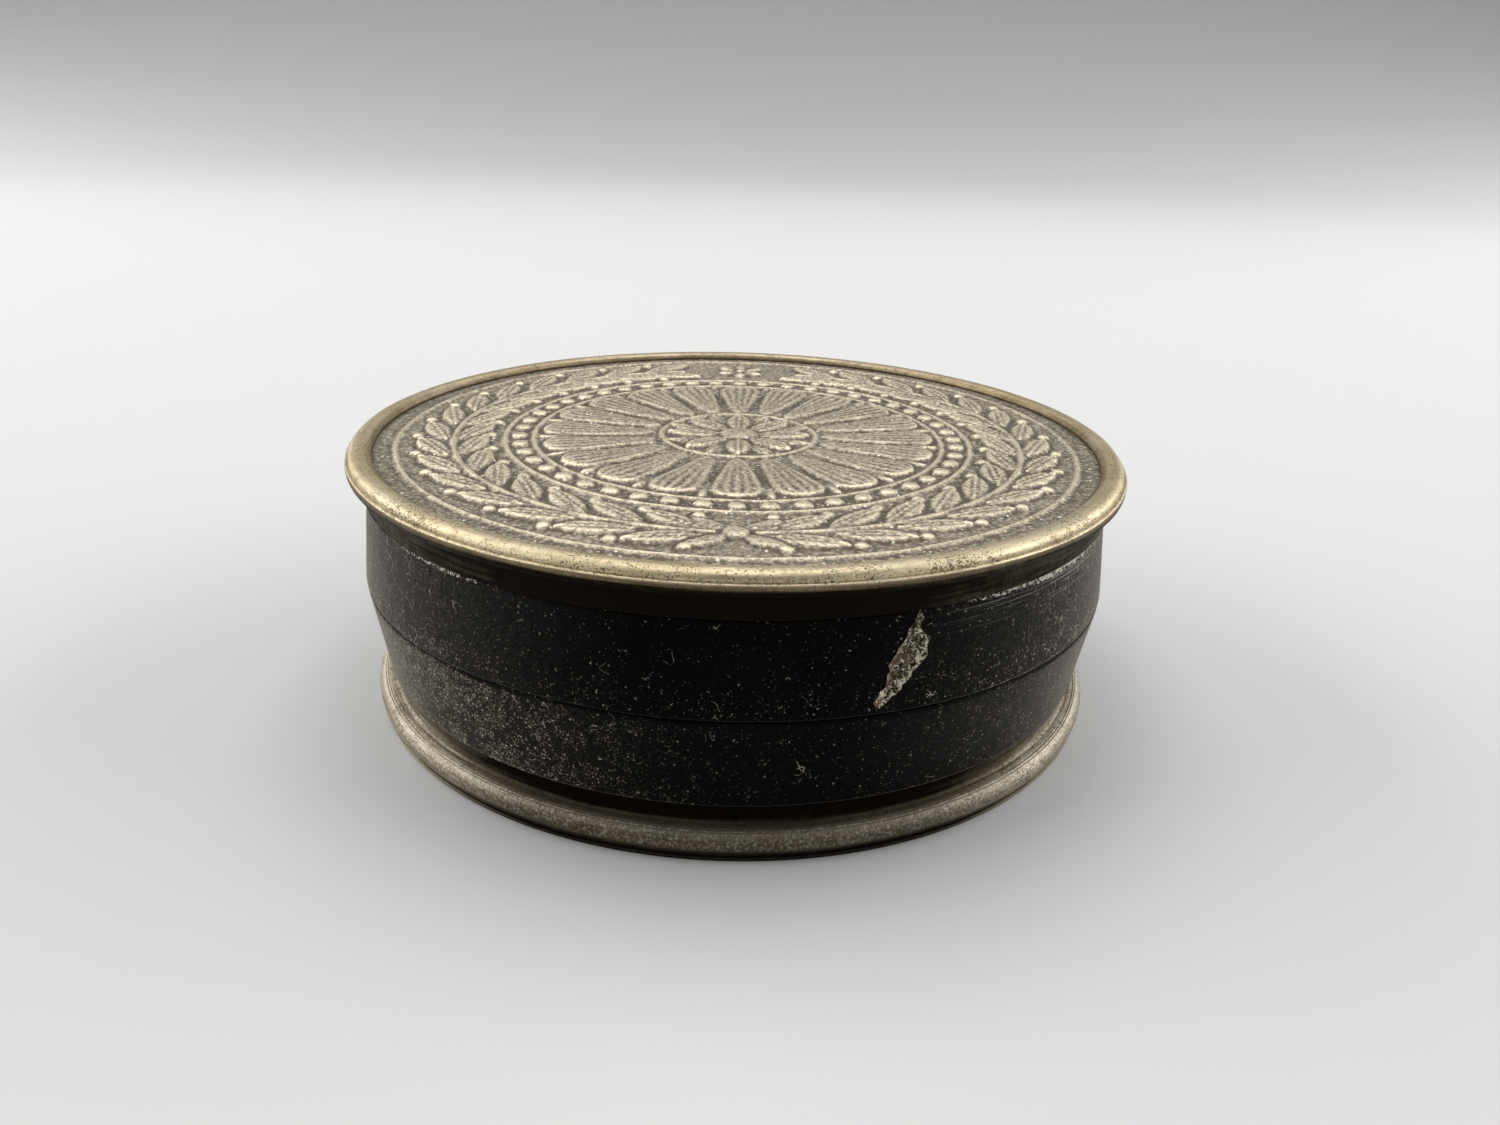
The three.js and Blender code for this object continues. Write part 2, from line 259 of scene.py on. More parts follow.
def leaf(along, across, length, width, height, start=None, veins=True):
    """A pointed leaf that rises towards its tip, with a midrib and side veins. It lies about its place, or
    outwards from a start off it."""
    if start is not None:
        along = along - start - length / 2
    reach = np.clip(along * 2 / length, -1, 1)
    half = width / 2 * (1 - reach ** 2) ** 0.8 + 1e-6
    body = dome(across / half) * (0.72 + 0.28 * reach)
    if veins:
        beside_midrib = np.exp(-((np.abs(across) - 0.3) / 0.15) ** 2)
        side_veins = np.cos((along - VEIN_SLANT * np.abs(across)) * 2 * np.pi / VEIN_SPACING)
        body *= 1 - 0.5 * beside_midrib
        body *= 1 + 0.16 * side_veins
    return np.where(np.abs(along) < length / 2, height * body, 0)


def lobe(along, across, start, length, shoulder, width, root, height):
    """A gadroon: a lobe that widens outwards to a round end, fluted lengthwise like a shell."""
    along = along - start
    taper = np.interp(along, [0, root, shoulder], [0, root, width / 2])
    cap = width / 2 * np.sqrt(np.clip(1 - ((along - shoulder) / (length - shoulder)) ** 2, 0, 1))
    half = np.where(along > shoulder, cap, taper)
    share = np.where(half > 0.02, across / np.maximum(half, 0.02), 2)
    flute = dome(2 * ((share * FLUTES / 2 + 0.5) % 1 - 0.5))
    flute = 1 - 0.6 * smooth(2, 5, along) * (1 - flute)
    body = (0.35 + 0.65 * along / shoulder) * (0.35 + 0.65 * dome(share)) * flute
    return np.where((along > 0) & (np.abs(share) < 1), height * body, 0)


def ball(along, across, half, height):
    """A round boss or berry."""
    return height * dome(np.hypot(along, across) / half)


def stamp(field, radius, angle, turn, reach, motif, **sizes):
    """Raises the field by a motif at a place, its own outward direction turned from the radius."""
    x = radius * math.sin(angle)
    y = -radius * math.cos(angle)
    columns = slice(*np.searchsorted(RELIEF_AXIS, (x - reach, x + reach)))
    rows = slice(*np.searchsorted(RELIEF_AXIS, (y - reach, y + reach)))
    right = RELIEF_AXIS[columns][None, :] - x
    back = RELIEF_AXIS[rows][:, None] - y
    out_x = math.sin(angle + turn)
    out_y = -math.cos(angle + turn)
    window = field[rows, columns]
    raised = motif(right * out_x + back * out_y, back * out_x - right * out_y, **sizes)
    np.maximum(window, raised, out=window)


def stamp_whorl(field, count, first, motif, radius=0, angle=0, reach=22, **sizes):
    """Raises equal motifs all round a place, each turned to face away from it."""
    for i in range(count):
        stamp(field, radius, angle, first + i * 2 * np.pi / count, reach, motif, **sizes)


def stamp_wreath(field):
    """Two laurel branches that rise from the front, each with pairs of leaves and berries."""
    for side in (-1, 1):
        for i in range(WREATH_STATIONS):
            angle = side * (WREATH_START + i * WREATH_STEP)
            for row in (-1, 1):
                turn = side * (math.pi / 2 - row * LEAF_SPLAY)
                stamp(field, WREATH_RADIUS + row * LEAF_OFFSET, angle, turn, reach=3.6, motif=leaf, **LEAF)
                spot = angle - side * WREATH_STEP * 0.36
                stamp(field, WREATH_RADIUS + row * BERRY_OFFSET, spot, 0, reach=1, motif=ball, **BERRY)


def stamp_bow(field):
    """The tied ribbon at the wreath's foot: a knot, two loops and two tails."""
    stamp(field, WREATH_RADIUS, 0, 0, reach=2, motif=ball, **KNOT)
    for side in (-1, 1):
        for row, ribbon in RIBBONS:
            turn = side * (math.pi / 2 - row * RIBBON_SPLAY)
            stamp(field, WREATH_RADIUS, 0, turn, reach=6, motif=leaf, veins=False, **ribbon)


def blurred(field, size):
    """The field evened out over about that many millimetres."""
    across = np.fft.rfftfreq(field.shape[1], RELIEF_CELL)[None, :]
    down = np.fft.fftfreq(field.shape[0], RELIEF_CELL)[:, None]
    passes = np.exp(-2 * (np.pi * size) ** 2 * (across ** 2 + down ** 2))
    return np.fft.irfft2(np.fft.rfft2(field) * passes, field.shape)


def struck_field():
    """Heights over the field on an even grid: rosette, gadroons, pearls, wreath, bow and the fillet."""
    right, back = np.meshgrid(RELIEF_AXIS, RELIEF_AXIS)
    distance = np.hypot(right, back)
    angle = np.degrees(np.abs(np.arctan2(right, -back)))
    field = np.zeros(distance.shape)
    for radius, width, height in FINE_RINGS:
        np.maximum(field, height * dome((distance - radius) / width), out=field)
    on_branch = (angle > 3) & (angle < 166)
    np.maximum(field, on_branch * STEM_HEIGHT * dome((distance - WREATH_RADIUS) / STEM_HALF_WIDTH), out=field)
    stamp_whorl(field, PETALS, np.pi / PETALS, leaf, **SEPAL)
    stamp_whorl(field, PETALS, 0, leaf, **PETAL)
    stamp(field, 0, 0, 0, reach=3, motif=ball, **BOSS)
    stamp_whorl(field, GADROONS, np.pi / GADROONS, leaf, veins=False, **DART)
    stamp_whorl(field, GADROONS, 0, lobe, **GADROON)
    for i in range(PEARLS):
        stamp(field, PEARL_RING, i * 2 * np.pi / PEARLS, 0, reach=1.2, motif=ball, **PEARL)
    stamp_wreath(field)
    stamp_bow(field)
    stamp_whorl(field, FLOWER_PETALS, 0, leaf, radius=WREATH_RADIUS, angle=np.pi, reach=4,
                veins=False, **FLOWER_PETAL)
    stamp(field, WREATH_RADIUS, np.pi, 0, reach=1, motif=ball, **BERRY)
    np.maximum(field, FILLET_HEIGHT * dome((distance - FILLET_RADIUS) * 2 / FILLET_WIDTH), out=field)
    return blurred(field, STRIKE_SOFTNESS)


def sampled(field, points):
    """The field's values at points, evenly between its cells."""
    place = (points[:, :2] - RELIEF_AXIS[0]) / RELIEF_CELL
    column, row = np.floor(place).astype(int).T
    across, down = (place - np.floor(place)).T
    upper = field[row, column] * (1 - across) + field[row, column + 1] * across
    lower = field[row + 1, column] * (1 - across) + field[row + 1, column + 1] * across
    return upper * (1 - down) + lower * down


def disc_rings():
    """Radii of the rings of the medallion's mesh and how many points each has, finer under the wreath."""
    wreath_from = 22
    fillet_to = 35.9
    radii = np.concatenate([
        np.arange(0.24, wreath_from, 0.24), np.arange(wreath_from, fillet_to, 0.21),
        np.arange(fillet_to, 37.7, 0.3), [MEDALLION_RADIUS],
    ])
    arc = np.where(radii < wreath_from, 0.24, 0.22)
    return radii, np.maximum(6, np.round(2 * np.pi * radii / arc)).astype(int)


def medallion(material):
    """The struck disc: its relief on a mesh of rings, a plain edge and a flat back."""
    radii, counts = disc_rings()
    starts = np.concatenate([[1], 1 + np.cumsum(counts)])
    angle = np.concatenate([np.arange(n) * 2 * np.pi / n for n in counts])
    points = np.vstack([[0, 0, 0], placed(angle, np.repeat(radii, counts), np.zeros(len(angle)))])
    faces = [[0, 1 + j, 1 + (j + 1) % counts[0]] for j in range(counts[0])]
    for inner, outer, first, second in zip(counts, counts[1:], starts, starts[1:]):
        joins = np.round((np.arange(inner) + 0.5) * outer / inner).astype(int)
        meets = np.searchsorted(joins, np.arange(outer), side="right") % inner
        near = np.arange(inner)
        far = np.arange(outer)
        faces += np.stack([first + near, second + joins % outer, first + (near + 1) % inner], 1).tolist()
        faces += np.stack([second + far, second + (far + 1) % outer, first + meets], 1).tolist()

    field = struck_field()
    height = sampled(field, points)
    hollow = sampled(field - blurred(field, HOLLOW_WIDTH), points)
    ridge = sampled(field - blurred(field, RIDGE_WIDTH), points)
    distance = np.hypot(points[:, 0], points[:, 1])
    on_fillet = np.exp(-((distance - FILLET_RADIUS) / 0.35) ** 2)
    rubbed_front = sector(np.arctan2(points[:, 0], -points[:, 1]), -10, 80)
    ridge -= 0.07 * on_fillet * (1 - rubbed_front)
    hollow -= 0.05 * smooth(FILLET_RADIUS + 0.3, FILLET_RADIUS + 0.6, distance)
    # Next to the rim the margin is darkened further: a painted shadow of the bead.
    hollow -= 0.05 * smooth(36.7, 37.4, distance)
    grain = lumps(points, 0.5, seed=1) * 0.03 + lumps(points, 2.6, seed=2) * 0.02
    flattened = 0.4 * np.clip(height - 0.35, 0, 1)
    worn = (height - flattened) * (0.88 + 0.12 * lumps(points, 7, seed=7))
    clear_of_rim = distance < MEDALLION_RADIUS - 0.7
    points[:, 2] = FIELD + worn + grain * clear_of_rim

    rim = np.arange(counts[-1])
    top = starts[-2] + rim
    low = len(points) + rim
    edge = placed(angle[-counts[-1]:], MEDALLION_RADIUS, np.full(counts[-1], MEDALLION_BOTTOM))
    points = np.vstack([points, edge, [0, 0, MEDALLION_BOTTOM]])
    faces += np.stack([low, np.roll(low, -1), np.roll(top, -1), top], 1).tolist()
    faces += np.stack([np.full(len(low), len(points) - 1), np.roll(low, -1), low], 1).tolist()
    below = np.zeros(len(edge) + 1)
    attributes = {"relief": np.append(height, below), "hollow": np.append(hollow, below),
                  "ridge": np.append(ridge, below)}
    piece("struck_medallion", points, faces, "medallion", material, attributes)


# Walls, rims and linings

def chip_distance(angle, height):
    """How far inside the flake's outline each point of the wall lies, in millimetres, below 0 outside."""
    outline = np.array(CHIP) * (math.radians(1) * CHIP_RADIUS, 1)
    points = np.stack([np.where(angle > np.pi, angle - 2 * np.pi, angle) * CHIP_RADIUS, height], axis=-1)
    spread = np.concatenate([points, np.zeros(points.shape[:-1] + (1,))], axis=-1)
    for k, (size, shift) in enumerate(((1.3, 0.3), (0.45, 0.15))):
        strays = [lumps(spread, size, seed=first + k) for first in (5, 15)]
        points = points + np.stack(strays, axis=-1) * shift
    nearest = np.full(angle.shape, np.inf)
    inside = np.zeros(angle.shape, bool)
    for start, end in zip(outline, np.roll(outline, -1, axis=0)):
        side = end - start
        share = np.clip(((points - start) @ side) / (side @ side), 0, 1)
        nearest = np.minimum(nearest, np.linalg.norm(points - start - share[..., None] * side, axis=-1))
        crosses = (start[1] > points[..., 1]) != (end[1] > points[..., 1])
        at = start[0] + side[0] * (points[..., 1] - start[1]) / (side[1] if side[1] else 1e-9)
        inside ^= crosses & (points[..., 0] < at)
    return np.where(inside, nearest, -nearest)


def lid_wall(material):
    """The lid's flared black ring, with a flake lost at its front right, and worn and dusty lacquer."""
    lower_edge = (39.1, 13.75)
    outline = section([
        (36.3, 13.75, 0.15), (*lower_edge, 0.36), (38.3, 22.4, 0.28), (37.9, 22.4), (37.9, 25.4, 0.1),
        (36.9, 25.4, 0.05), (36.9, 24.4), (36.3, 24.4, 0.1),
    ], fine=0.13, fine_beyond=38.2)
    angle, radius, height = spun(outline, LID_ROUND)
    points = placed(angle, radius, height)
    outside = radius > 38.05
    inside_by = np.where(outside, chip_distance(angle, height), AWAY_FROM_CHIP)
    floor = CHIP_DEPTH * smooth(0, CHIP_SLOPE, inside_by)
    rough = lumps(points, 0.5, seed=8) * 0.14 + lumps(points, 0.22, seed=9) * 0.1
    lifted_edge = 0.05 * np.exp(-((inside_by + 0.05) / 0.14) ** 2)
    sunk = floor + rough * smooth(0, 0.35, inside_by) - lifted_edge
    dents = 0.02 * lumps(points, 3.2, seed=3) + 0.006 * lumps(points, 0.7, seed=4)
    edge = closeness(radius, height, [(39.05, 13.8), (38.25, 22.35)], reach=0.4)
    nicks = 0.12 * edge * smooth(0.35, 0.8, lumps(points, 0.8, seed=6))
    radius += np.where(outside, dents - nicks - sunk, 0)

    top = closeness(radius, height, [(38.3, 22.3)], reach=0.27 + 0.13 * sector(angle, 52, 22))
    bottom = closeness(radius, height, [(39.05, 13.9)], reach=0.25)
    worn = top * (0.5 * sector(angle, -42, 20) + 1.1 * sector(angle, 47, 24) + 0.7 * sector(angle, 140, 40))
    worn += 0.2 * bottom * sector(angle, 38, 34)
    scuff = sector(angle, 48, 26) * smooth(18.5, 22.2, height)
    scuff += 0.6 * sector(angle, 150, 50) * smooth(18, 22, height)
    clean = 1 - closeness(radius, height, [lower_edge], reach=0.25)
    left = sector(angle, -72, 62)
    back = sector(angle, 180, 80)
    # A grey film towards the sides and back: partly dust, partly a painted sheen where the lacquer is seen at
    # a grazing angle.
    dusty_film_and_painted_sheen = 0.95 * left + 0.7 * sector(angle, 72, 60) + 0.5 * back
    dust = 0.06 + 0.22 * left + 0.3 * sector(angle, 62, 50) + 0.3 * back
    dust += 0.14 * smooth(18, 14.2, height) + 1.2 * sector(angle, 70, 18) * smooth(20.8, 22, height)
    chip_middle = np.interp(height, (13.8, 22.5), (17.8, 22.4))
    brown_side = smooth(0.6, -0.6, np.degrees(angle) % 360 - chip_middle) * smooth(1.1, 0.2, inside_by)
    pale_side = np.exp(-((inside_by - 0.2) / 0.25) ** 2) * (1 - brown_side)
    pale_side += 0.6 * smooth(17.5, 15.5, height) * smooth(0, 0.3, inside_by)
    pale_side -= 0.5 * smooth(19.5, 21.5, height)
    attributes = {"chip": smooth(-0.04, 0.1, inside_by), "brown_side": brown_side, "pale_side": pale_side,
                  "worn": worn, "scuff": scuff, "dusty_film_and_painted_sheen": dusty_film_and_painted_sheen * clean, "dust": dust * clean}
    grid = (angle, radius, height)
    turned_piece("lacquered_lid_wall", grid, "lid_wall", material, attributes)


def base_wall(material):
    """The base's tapered black ring, dustiest at its left."""
    upper_edge = (39.06, 13.7)
    outline = section([
        (35.65, 1.2), (36.3, 1.2), (36.3, 4.75), (37.5, 4.75, 0.25), (*upper_edge, 0.4), (36.25, 13.7, 0.1),
        (36.25, 6), (35, 6), (35, 2.15), (35.65, 2.15),
    ], fine=0.22, fine_beyond=36.9)
    angle, radius, height = spun(outline, EVEN_ROUND)
    points = placed(angle, radius, height)
    outside = (radius > 36.9) & (height < 13.6)
    edge = closeness(radius, height, [(39, 13.6), (37.5, 4.85)], reach=0.4)
    nicks = 0.1 * edge * smooth(0.4, 0.8, lumps(points, 0.9, seed=26))
    dents = 0.02 * lumps(points, 3.4, seed=23) + 0.006 * lumps(points, 0.7, seed=24)
    radius += np.where(outside, dents - nicks, 0)

    clean = 1 - closeness(radius, height, [upper_edge], reach=0.25)
    left = sector(angle, -62, 66)
    back = sector(angle, 180, 90)
    # A grey film towards the sides and back: partly dust, partly a painted sheen where the lacquer is seen at
    # a grazing angle.
    dusty_film_and_painted_sheen = 0.4 * left + 0.65 * sector(angle, 70, 60) * smooth(4, 11, height) + 0.4 * back
    dust = 0.1 + 0.95 * left + 0.27 * sector(angle, 62, 50) + 0.3 * back
    dust += 0.1 * smooth(7.3, 5, height) * sector(angle, -50, 70)
    attributes = {"worn": 0.05 * edge, "dusty_film_and_painted_sheen": dusty_film_and_painted_sheen * clean, "dust": dust * clean}
    grid = (angle, radius, height)
    turned_piece("lacquered_base_wall", grid, "base_wall", material, attributes)


def lid_bezel(material):
    """The brass rim round the medallion: a bead, a thin ridge below it, a hollow underside and a skirt."""
    lip = 26.25
    crown = bead((38.55, lip), 1.15, 0.75, np.linspace(0, np.pi, 25))
    outline = section([
        (37.95, 22.45), (38.5, 22.45, 0.1), (38.5, 24.9, 0.6), (40, 24.9, 0.8), (40, 26.1, 0.3, 0.2),
        (39.7, 26.1, 0.06), *crown, (37.95, lip),
    ], fine=0.14)
    angle, radius, height = spun(outline, EVEN_ROUND)
    points = placed(angle, radius, height)
    shown = (radius > 38.2) | (height > 26.3)
    dents = 0.02 * lumps(points, 4.5, seed=31) + 0.007 * lumps(points, 1.1, seed=32)
    pits = 0.05 * smooth(0.62, 0.9, lumps(points, 0.5, seed=33))
    radius += np.where(shown & (radius < 39.9), dents - pits, 0)
    height += np.where(height > 26.4, (dents - pits) * 0.7 - 0.02, 0)

    front = sector(angle, 0, 80)
    far = sector(angle, 180, 90)
    on_bead = height > 26.2
    # Darker along the groove under the bead. Dirt and painted shade on the bead's inner slope, with a painted
    # shadow line at its inner lip. Painted shade on the ridge's lower rounding and over the skirt below it,
    # heaviest at the front and just under the ridge.
    groove = 0.3 * closeness(radius, height, [(39.7, 26.14)], reach=0.12)
    slope = (0.3 + 0.15 * sector(angle, 0, 70)) * smooth(38.3 - 0.15 * far, 37.6, radius)
    slope += (0.3 - 0.2 * far) * closeness(radius, height, [(37.4, lip)], reach=0.3)
    painted_shade_under_ridge = 0.47 * smooth(26.06, 25.92, height) + (0.25 + 0.3 * front) * smooth(25.75, 25.4, height)
    skirt = 0.38 + 0.9 * smooth(0, 0.6, sector(angle, -3, 46)) + 0.15 * smooth(23.2, 24.4, height)
    dirt_and_painted_shade = np.maximum(groove, np.where(on_bead, slope, painted_shade_under_ridge))
    dirt_and_painted_shade = np.maximum(dirt_and_painted_shade, smooth(25.4, 24.95, height) * skirt)
    # A pale line along the ridge's outer edge: partly wear, partly a painted highlight.
    worn = 0.4 * closeness(radius, height, [(39.95, 26.05)], reach=0.13)
    pitted = closeness(radius, height, [(39.6, 26.3), (39.9, 25.75)], reach=0.4)
    # The far half of the bead gets a painted shade tone. The mask above is dirt and painted shade.
    attributes = {"dirt_and_painted_shade": dirt_and_painted_shade, "worn": worn, "painted_shade_tone": 0.2 * far * on_bead, "pitted": pitted}
    turned_piece("brass_lid_rim", (angle, radius, height), "lid_bezel", material, attributes)


def foot_bezel(material):
    """The brass rim that the box stands on: a thin lip, a bead with two fine grooves, a cove and a skirt."""
    bead_angles = np.radians(np.concatenate([np.arange(-36, 50, 4), np.arange(50, 81, 1.25)]))
    outline = section([
        (35, 0, 0.1), (38.5, 0, 0.08), (38.56, 0.34, 0.1), (38.42, 0.48),
        *bead((37.1, 1.45), 1.75, 1.45, bead_angles), (36.95, 2.9, 0.44, 1.2),
        (36.95, 4.7, 0.06), (36.35, 4.7), (36.35, 0.55), (35, 0.55, 0.1),
    ], fine=0.12, fine_beyond=36.5)
    angle, radius, height = spun(outline, EVEN_ROUND)
    groove = sum(np.exp(-((radius - line) / 0.05) ** 2) for line in (37.9, 38.12)) * (height > 2)
    height -= 0.07 * groove
    points = placed(angle, radius, height)
    shown = (radius > 36.85) & (height > 0.15)
    dents = 0.025 * lumps(points, 4.2, seed=41) + 0.006 * lumps(points, 0.9, seed=42)
    pits = 0.03 * smooth(0.6, 0.9, lumps(points, 0.6, seed=43))
    radius += np.where(shown, dents - pits, 0)

    front = smooth(0, 0.7, sector(angle, 0, 62))
    # The foot's mask of dirt and painted shade. The cove is painted darker towards the wall above it and much
    # darker at the front. The bead's underside and the crease above the lip are painted in shade, heaviest at
    # the front. The two fine grooves are darker, more so on the right.
    cove = np.where(height > 2.3, smooth(38.1, 37.8, radius), 0)
    cove *= 0.2 + 0.25 * smooth(2.9, 4.4, height) + front * (0.35 + 0.4 * smooth(2.85, 3.3, height))
    low = (0.25 + 0.65 * front) * smooth(1.6, 0.8, height)
    low += 0.3 * closeness(radius, height, [(38.45, 0.5)], reach=0.12)
    dirt_and_painted_shade = np.maximum(np.maximum(groove * (0.2 + 0.4 * sector(angle, 70, 60)), cove), low)
    # A painted shade tone over the front of the foot and, more lightly, over its right side.
    painted_shade_tone = 0.85 * front + 0.35 * sector(angle, 90, 70)
    # A pale band on the bead's upper slope, partly wear and partly a painted highlight, and a painted
    # highlight line along the lip. Both are fainter at the front, where painted shade lies.
    worn = 0.6 * closeness(radius, height, [(38.3, 2.5)], reach=0.4)
    worn += (1 - 0.8 * front) * closeness(radius, height, [(38.55, 0.25)], reach=0.1)
    attributes = {"dirt_and_painted_shade": dirt_and_painted_shade, "worn": worn * (1 - 0.6 * front), "painted_shade_tone": painted_shade_tone, "pitted": 0.5 * cove}
    turned_piece("brass_foot_rim", (angle, radius, height), "foot_bezel", material, attributes)


def plain_turning(name, corners, node, material):
    """A ring or disc turned to an outline, with no marks of its own but those of its material."""
    outline = section(corners, fine=0.3, coarse=1.2, fine_beyond=34)
    turned_piece(name, spun(outline, EVEN_ROUND), node, material)


# Materials

WALL_RADIUS = 38.0
# The first of these brass colours is painted shade, and the last is dirt and painted shade.
BRASS_PAINTED_SHADE = (0.045, 0.038, 0.026)
BRASS_GRAIN = (0.08, 0.06, 0.035)
BRASS_PIT = (0.06, 0.042, 0.024)
BRASS_DIRT_AND_SHADE = (0.008, 0.0056, 0.003)


class Shader:
    """A material's nodes, with short calls for what these materials share, and places in millimetres."""

    def __init__(self, name):
        self.material = bpy.data.materials.new(name)
        self.material.use_nodes = True
        self.tree = self.material.node_tree
        self.surface = self.tree.nodes["Principled BSDF"]
        place = self.tree.nodes.new("ShaderNodeTexCoord").outputs["Object"]
        self.place = self.node("ShaderNodeVectorMath", "SCALE", Vector=place, Scale=1 / MM)

    def put(self, socket, value):
        """Links another node's output to a socket, or sets the socket's own value."""
        if isinstance(value, bpy.types.NodeSocket):
            self.tree.links.new(value, socket)
        elif isinstance(value, tuple) and len(value) == 3 and socket.type == "RGBA":
            socket.default_value = (*value, 1)
        else:
            socket.default_value = value

    def node(self, kind, operation=None, output=0, **inputs):
        """One output of a new node with these inputs."""
        made = self.tree.nodes.new(kind)
        if operation:
            made.operation = operation
        for name, value in inputs.items():
            self.put(made.inputs[name], value)
        return made.outputs[output]

    def math(self, operation, first, second=0.0):
        """A sum, product or the like of two values."""
        made = self.tree.nodes.new("ShaderNodeMath")
        made.operation = operation
        self.put(made.inputs[0], first)
        self.put(made.inputs[1], second)
        return made.outputs[0]

    def between(self, value, low, high, start=0.0, end=1.0):
        """start where the value is at low, end where it is at high, and an even curve between."""
        made = self.tree.nodes.new("ShaderNodeMapRange")
        made.interpolation_type = "SMOOTHSTEP"
        for name, number in (("From Min", low), ("From Max", high), ("To Min", start), ("To Max", end)):
            made.inputs[name].default_value = number
        self.put(made.inputs["Value"], value)
        return made.outputs["Result"]

    def blend(self, share, first, second):
        """The first colour with a share of the second over it."""
        made = self.tree.nodes.new("ShaderNodeMix")
        made.data_type = "RGBA"
        colours = [socket for socket in made.inputs if socket.type == "RGBA"]
        self.put(made.inputs["Factor"], share)
        self.put(colours[0], first)
        self.put(colours[1], second)
        return next(socket for socket in made.outputs if socket.type == "RGBA")

    def noise(self, scale, detail=3.0, roughness=0.55, distortion=0.0):
        """Noise with about this many lumps in a millimetre."""
        made = self.tree.nodes.new("ShaderNodeTexNoise")
        self.put(made.inputs["Vector"], self.place)
        for name, number in (("Scale", scale), ("Detail", detail), ("Roughness", roughness),
                             ("Distortion", distortion)):
            made.inputs[name].default_value = number
        return made.outputs["Fac"]

    def strayed(self, scale, by):
        """The place moved about by noise, up to about that many millimetres."""
        made = self.tree.nodes.new("ShaderNodeTexNoise")
        self.put(made.inputs["Vector"], self.place)
        made.inputs["Scale"].default_value = scale
        moved = self.node("ShaderNodeVectorMath", "SUBTRACT", Vector=made.outputs["Color"])
        moved.node.inputs[1].default_value = (0.5, 0.5, 0.5)
        moved = self.node("ShaderNodeVectorMath", "SCALE", Vector=moved, Scale=by * 2)
        added = self.tree.nodes.new("ShaderNodeVectorMath")
        self.put(added.inputs[0], self.place)
        self.put(added.inputs[1], moved)
        return added.outputs[0]

    def specks(self, scale, size, share, place=None):
        """Round specks of a size in cells, in a share of the cells, each of a brightness of its own."""
        made = self.tree.nodes.new("ShaderNodeTexVoronoi")
        self.put(made.inputs["Vector"], place or self.place)
        made.inputs["Scale"].default_value = scale
        chance = self.tree.nodes.new("ShaderNodeSeparateColor")
        self.put(chance.inputs["Color"], made.outputs["Color"])
        chosen = self.math("LESS_THAN", chance.outputs["Red"], share)
        bright = self.math("MULTIPLY", chosen, self.math("POWER", chance.outputs["Green"], 1.6))
        return self.math("MULTIPLY", self.between(made.outputs["Distance"], size, size * 0.4), bright)

    def turned(self, fineness, length):
        """Noise drawn out round the axis, as lines from turning or wiping: this many in a millimetre, and
        about this long at the walls."""
        parts = self.tree.nodes.new("ShaderNodeSeparateXYZ")
        self.put(parts.inputs[0], self.place)
        flat = self.tree.nodes.new("ShaderNodeCombineXYZ")
        self.put(flat.inputs["X"], parts.outputs["X"])
        self.put(flat.inputs["Y"], parts.outputs["Y"])
        radius = self.node("ShaderNodeVectorMath", "LENGTH", output="Value", Vector=flat.outputs[0])
        around = self.node("ShaderNodeVectorMath", "NORMALIZE", Vector=flat.outputs[0])
        around = self.node("ShaderNodeVectorMath", "SCALE", Vector=around, Scale=WALL_RADIUS / length)
        split = self.tree.nodes.new("ShaderNodeSeparateXYZ")
        self.put(split.inputs[0], around)
        joined = self.tree.nodes.new("ShaderNodeCombineXYZ")
        self.put(joined.inputs["X"], split.outputs["X"])
        self.put(joined.inputs["Y"], split.outputs["Y"])
        self.put(joined.inputs["Z"], self.math("MULTIPLY", radius, fineness))
        made = self.tree.nodes.new("ShaderNodeTexNoise")
        made.noise_dimensions = "4D"
        self.put(made.inputs["Vector"], joined.outputs[0])
        self.put(made.inputs["W"], self.math("MULTIPLY", parts.outputs["Z"], fineness))
        made.inputs["Scale"].default_value = 1.0
        made.inputs["Detail"].default_value = 2.0
        return made.outputs["Fac"]

    def attribute(self, name):
        """What a mesh stores for each of its points under a name."""
        made = self.tree.nodes.new("ShaderNodeAttribute")
        made.attribute_name = name
        return made.outputs["Fac"]

    def bump(self, height, depth, under=None):
        """A bump whose full height is a depth in millimetres."""
        made = self.tree.nodes.new("ShaderNodeBump")
        made.inputs["Strength"].default_value = 1.0
        made.inputs["Distance"].default_value = depth * MM
        self.put(made.inputs["Height"], height)
        if under:
            self.put(made.inputs["Normal"], under)
        return made.outputs["Normal"]

    def finish(self, **sockets):
        """The material, with these sockets of its surface set."""
        for name, value in sockets.items():
            self.put(self.surface.inputs[name.replace("_", " ")], value)
        return self.material


